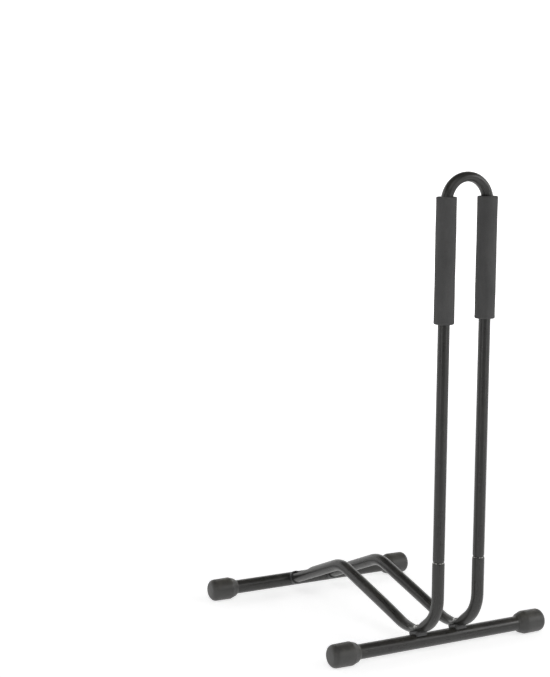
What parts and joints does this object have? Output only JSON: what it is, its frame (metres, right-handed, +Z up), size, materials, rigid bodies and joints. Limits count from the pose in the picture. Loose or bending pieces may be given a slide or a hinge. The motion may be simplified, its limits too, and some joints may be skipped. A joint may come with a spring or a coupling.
{
  "type": "bicycle floor rack",
  "caption": "Black tubular floor rack that holds one bicycle by a wheel between an upright padded hoop and two bent rails.",
  "frame": {"origin": "on the floor, under the middle of the rack's bounding box", "axes": "+Z up, +X across the rack along the foot tubes, +Y from the hoop towards the rear foot tube"},
  "size_m": [0.3944, 0.4594, 0.7218],
  "materials": {
    "coated_tube": "satin black powder coat",
    "foam": "matte closed-cell foam",
    "cap_rubber": "matte, fine grain",
    "saddle_plastic": "matte",
    "fastener": "zinc plated"
  },
  "bodies": {
    "base": {"rail_left": "coated_tube", "rail_right": "coated_tube", "front_foot_tube": "coated_tube", "rear_foot_tube": "coated_tube", "cap_front_left": "cap_rubber", "cap_front_right": "cap_rubber", "cap_rear_left": "cap_rubber", "cap_rear_right": "cap_rubber", "saddle_left": "saddle_plastic", "saddle_right": "saddle_plastic", "saddle_rear_left": "saddle_plastic", "saddle_rear_right": "saddle_plastic", "front_bolts": "fastener", "front_washers": "fastener", "front_curved_washers": "fastener", "front_nuts": "fastener", "rear_bolts": "fastener", "rear_washers": "fastener", "rear_curved_washers": "fastener", "rear_nuts": "fastener"},
    "upright": {"hoop": "coated_tube", "sleeve_left": "foam", "sleeve_right": "foam"}
  },
  "joints": [
    {"name": "hoop_lift", "type": "slide", "parent": "base", "child": "upright", "axis": [0, 0, 1], "range_m": [0, 0.08]}
  ]
}
